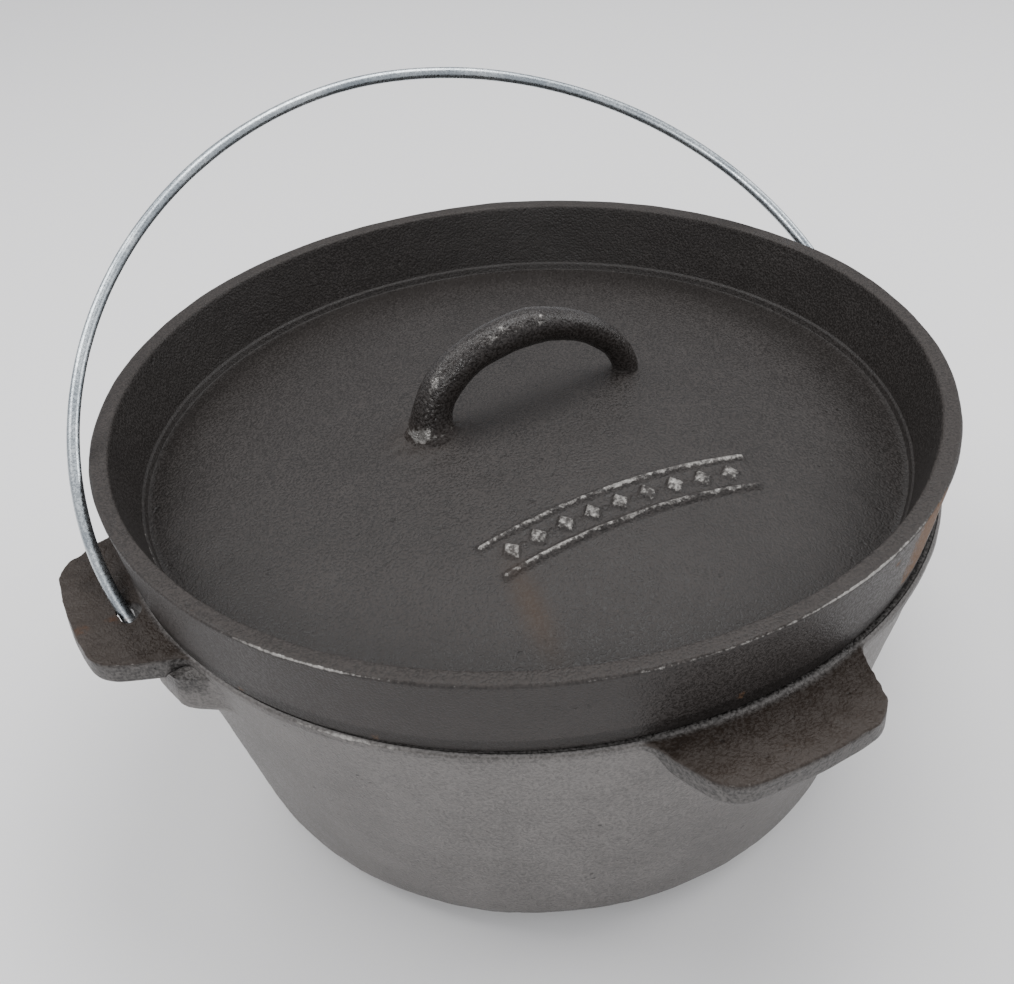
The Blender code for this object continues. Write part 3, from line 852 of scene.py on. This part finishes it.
def makeLid():
    rings, domeRows = lidRings()
    turn = math.radians(-lid["turn"])
    x = rings[:domeRows, :, 0]
    y = rings[:domeRows, :, 1]
    c, s = math.cos(turn), math.sin(turn)
    relief = bandRelief(x * c + y * s, y * c - x * s)
    rings[:domeRows, :, 2] += relief + lid["footRise"] * mound(x, y, lid["footMound"])
    rings *= mm
    crown = lid["height"] - lid["crownDepth"]
    obj = ringMesh("lid_body", rings, (0, 0, crown * mm), (0, 0, (crown - lid["plate"]) * mm))
    bar = handlePath()
    for piece in (obj, bar):
        piece.data.transform(
            Matrix.Translation((lid["shift"][0] * mm, lid["shift"][1] * mm, lid["seat"] * mm))
            @ Matrix.Rotation(math.radians(lid["turn"]), 4, "Z")
        )
    combine(obj, [bar], "UNION")
    co = points(obj)
    x = co[:, 0] / mm - lid["shift"][0]
    y = co[:, 1] / mm - lid["shift"][1]
    z = co[:, 2] / mm - lid["seat"]
    r, turn = np.hypot(x, y), np.degrees(np.arctan2(y, x))
    seat = ease((4 - z) / 4) * ease((r - 138) / 2)
    roughen(obj, lid["swell"], 1 - 0.9 * seat)
    overPlate = z - plateHeight(np.minimum(r, 134)) > -1.5
    nearFoot = mound(x, y, lid["footRough"]) * overPlate * ease((34 - z) / 6)
    roughen(obj, lid["footSwell"], nearFoot)
    clear = z > plateHeight(np.minimum(np.abs(x), 134)) + 2.0
    onBar = ease((6.9 - np.abs(y)) / 0.6) * clear * (np.abs(x) < 50)
    roughen(obj, lid["barSwell"], onBar)
    paint(obj, "polish", onBar)
    top = lid["topRadius"]
    skirt = ease((r - (top - lid["taper"] - 1.2)) / 1.2) * ease((lid["height"] - z) / 1.5)
    rimTop = ease((z - 31.0) / 0.8) * (r > 140)
    innerWallShade = ease((r - 134.5) / 1.0) * ease((31.4 - z) / 1.2) * (r < 146.5)
    # painted light and shade: the plate darkens towards its wall (painted shade), the skirt is lighter
    # than the plate and lighter again away from the side that faces the camera (painted sheen), the rim
    # top has a tone of its own, and the inner wall is painted black (painted shade)
    plateWallShade = 0.12 + 0.22 * ease((128 - r) / 26)
    lightAndShadeTone = np.where(r < 133, plateWallShade, 0.2)
    limbSheen = np.clip(np.abs(nearest(turn, -119)) / 75, 0, 1) ** 2
    lightAndShadeTone = lightAndShadeTone * (1 - skirt) + (0.62 + 0.38 * limbSheen) * skirt
    lightAndShadeTone = lightAndShadeTone * (1 - rimTop) + 0.36 * rimTop
    lightAndShadeTone = lightAndShadeTone * (1 - innerWallShade)
    paint(obj, "lightAndShadeTone", lightAndShadeTone)
    outerEdge = ease(1 - np.abs(r - top) / 1.5) * ease(1 - np.abs(z - 31.7) / 1.3)
    grooveLine = ease(1 - np.abs(r - 138.4) / 0.9) * ease(1 - np.abs(z - 7.9) / 1.0)
    innerEdge = ease(1 - np.abs(r - 145.1) / 0.9) * ease(1 - np.abs(z - 31.7) / 1.0)
    skirtFoot = ease(1 - np.abs(z - 0.8) / 1.2) * (r > 143)
    # the band's raised relief gets bare-metal wear, which is also a painted highlight on its ridges
    band = bandRelief(x, y) * (r < 120) * overPlate
    wearAndHighlight = 0.74 * outerEdge * wornRound(turn, lid["rimWorn"])
    wearAndHighlight += 0.55 * grooveLine * (0.5 + around(turn, -170, 70))
    wearAndHighlight += 0.22 * innerEdge + 0.22 * skirtFoot + 0.58 * ease((band - 0.5) / 0.9)
    normals = np.zeros(len(co) * 3)
    obj.data.vertex_normals.foreach_get("vector", normals)
    # painted highlight: bright bare-metal patches on the side of the bar that faces the direction given
    # in the handle's table
    highlightFacing = ease((normals.reshape(-1, 3) @ np.array(handle["highlightAim"]) - 0.52) / 0.45)
    wearAndHighlight += 0.70 * nearFoot * ease((z - 25) / 4) + 0.48 * onBar * highlightFacing
    paint(obj, "wearAndHighlight", wearAndHighlight)
    patch = around(turn, *lid["rustPatch"]) * skirt * ease((z - 1) / 6)
    left, front = lid["rustStreak"]
    streak = np.exp(-((x - left - 0.185 * (y - front)) / 4.5) ** 2 - ((y - front) / 17.0) ** 2)
    spots = np.zeros(len(co))
    for middle, height in lid["rustSpots"]:
        away = np.radians(nearest(turn, middle)) * top
        spots += np.exp(-(away**2 + (z - height) ** 2) / 5.0) * skirt
    paint(obj, "brown", 0.10 + 0.25 * nearFoot + 0.12 * rimTop + 0.9 * streak)
    paint(obj, "rust", 1.0 * patch + 0.26 * streak + 0.65 * spots)
    smoothShade(obj, 50)
    obj.data.materials.clear()
    obj.data.materials.append(lidIron)
    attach(obj, "lid")
    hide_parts("lid")
    return obj


makeLid()
print("lid: tray, dome, band and handle are cast")


# bail
bail = {
    "wire": 4.4, "rise": 166.3, "peak": 1.04, "skew": 0.0077, "hingeRadius": 154.0, "halfSpan": 156.02,
    "lean": 50.0, "hingeZ": 117.6, "drop": 8.0, "bend": 6.5, "leg": 5.0,
    "dents": [(0.075, 0.22), (0.115, 0.16), (0.90, 0.15)],  # share along the wire, depth
    "swell": [(30.0, 0.10), (6.0, 0.04)],
    "marks": [(131, 3.0, 1.0), (140, 2.0, 0.6)],  # tool marks: height, width, amount
    "endsBelow": 126,
}


def bailLine():
    # middle of the wire in its own plane, from hook to hook
    start = -math.acos((bail["hingeRadius"] / bail["halfSpan"]) ** (1 / bail["peak"]))
    share = math.sin(-start) ** bail["peak"]
    belly = bail["rise"] * share / (1 + share)
    arch = []
    for k in range(161):
        turn = start + (math.pi - 2 * start) * k / 160
        across = math.copysign(abs(math.cos(turn)) ** bail["peak"], math.cos(turn))
        lift = math.copysign(abs(math.sin(turn)) ** bail["peak"], math.sin(turn))
        height = belly + (bail["rise"] - belly) * lift
        arch.append(Vector((bail["halfSpan"] * across - bail["skew"] * height, height)))
    slope = (arch[0] - arch[1]).normalized()
    heading = math.atan2(slope.y, slope.x)
    straight = arch[0] + slope * bail["drop"]
    hook = [arch[0] + slope * bail["drop"] * k / 4 for k in range(1, 5)]
    for k in range(1, 13):
        turn = heading * (1 - k / 12)
        hook.append(straight + Vector((
            bail["bend"] * (math.sin(turn) - math.sin(heading)),
            bail["bend"] * (math.cos(heading) - math.cos(turn)),
        )))
    hook += [hook[-1] + Vector((bail["leg"] * k / 4, 0)) for k in range(1, 5)]
    return [*reversed(hook), *arch, *[Vector((-p.x, p.y)) for p in hook]]


def makeBail():
    line = [Vector((p.x, 0, p.y)) for p in bailLine()]
    count = len(line)
    side = Vector((0, 1, 0))
    rings = []
    for i, p in enumerate(line):
        along = (line[min(i + 1, count - 1)] - line[max(i - 1, 0)]).normalized()
        out = side.cross(along)
        share = i / (count - 1)
        radius = bail["wire"] / 2
        press = sum(depth * math.exp(-((share - at) / 0.004) ** 2) for at, depth in bail["dents"])
        ring = []
        for j in range(28):
            a = math.tau * j / 28
            flat = radius - press * max(0.0, math.cos(a - 0.6)) ** 2
            ring.append(p + flat * (math.cos(a) * out + math.sin(a) * side))
        rings.append(ring)
    # rounded cut ends
    for end, inward in ((0, 1), (-1, -1)):
        tip = line[end]
        along = (tip - line[end + inward]).normalized()
        caps = []
        for k in (1, 2, 3):
            turn = math.pi / 2 * k / 4
            middle = tip + along * 0.8 * math.sin(turn)
            shrink = 1 - 0.45 * (1 - math.cos(turn))
            caps.append([middle + (Vector(q) - tip) * shrink for q in rings[end]])
        rings = [*reversed(caps), *rings] if end == 0 else rings + caps
    rings = np.array([[tuple(q) for q in ring] for ring in rings])
    obj = ringMesh("bail_wire", rings * mm, rings[0].mean(0) * mm, rings[-1].mean(0) * mm)
    obj.data.transform(
        Matrix.Translation((0, 0, bail["hingeZ"] * mm))
        @ Matrix.Rotation(-math.radians(bail["lean"]), 4, "X")
    )
    roughen(obj, bail["swell"])
    co = points(obj)
    x, z = co[:, 0] / mm, co[:, 2] / mm
    ends = ease((bail["endsBelow"] - z) / 8)
    marks = sum(amount * np.exp(-((z - height) / wide) ** 2) for height, wide, amount in bail["marks"])
    paint(obj, "wearAndHighlight", 0.5 * ends + 0.55 * marks * (x < 0))
    paint(obj, "rust", 0.35 * ends)
    smoothShade(obj, 60)
    obj.data.materials.append(zincWire)
    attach(obj, "bail")
    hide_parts("bail")
    return obj


makeBail()
print("bail: wire, hooks and tool marks are bent")
